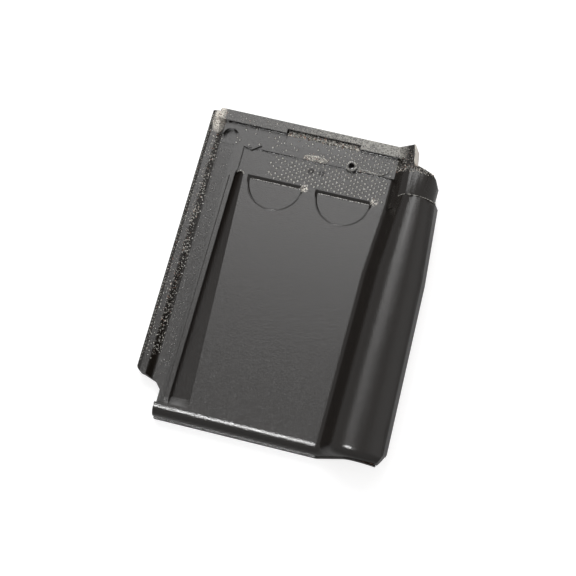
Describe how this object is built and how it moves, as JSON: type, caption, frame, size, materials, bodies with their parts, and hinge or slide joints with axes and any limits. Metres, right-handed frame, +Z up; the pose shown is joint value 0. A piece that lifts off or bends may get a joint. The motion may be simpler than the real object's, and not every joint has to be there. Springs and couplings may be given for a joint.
{
  "type": "clay roof tile",
  "caption": "Glazed interlocking clay pantile with a flat pan, one side roll, a ribbed side lock, a raised head and a rounded nose.",
  "frame": {"origin": "under the middle of the tile's box, on the floor that the nose lip and the batten nibs stand on", "axes": "+Y up the slope from the nose to the head, +X across from the side lock to the roll, +Z up out of the face"},
  "size_m": [0.2755, 0.335, 0.06],
  "materials": {
    "glaze": "black-brown satin to glossy fired glaze, worn pale and reddish at the head's edges"
  },
  "bodies": {
    "root": {"roof_tile": "glaze"}
  },
  "joints": []
}
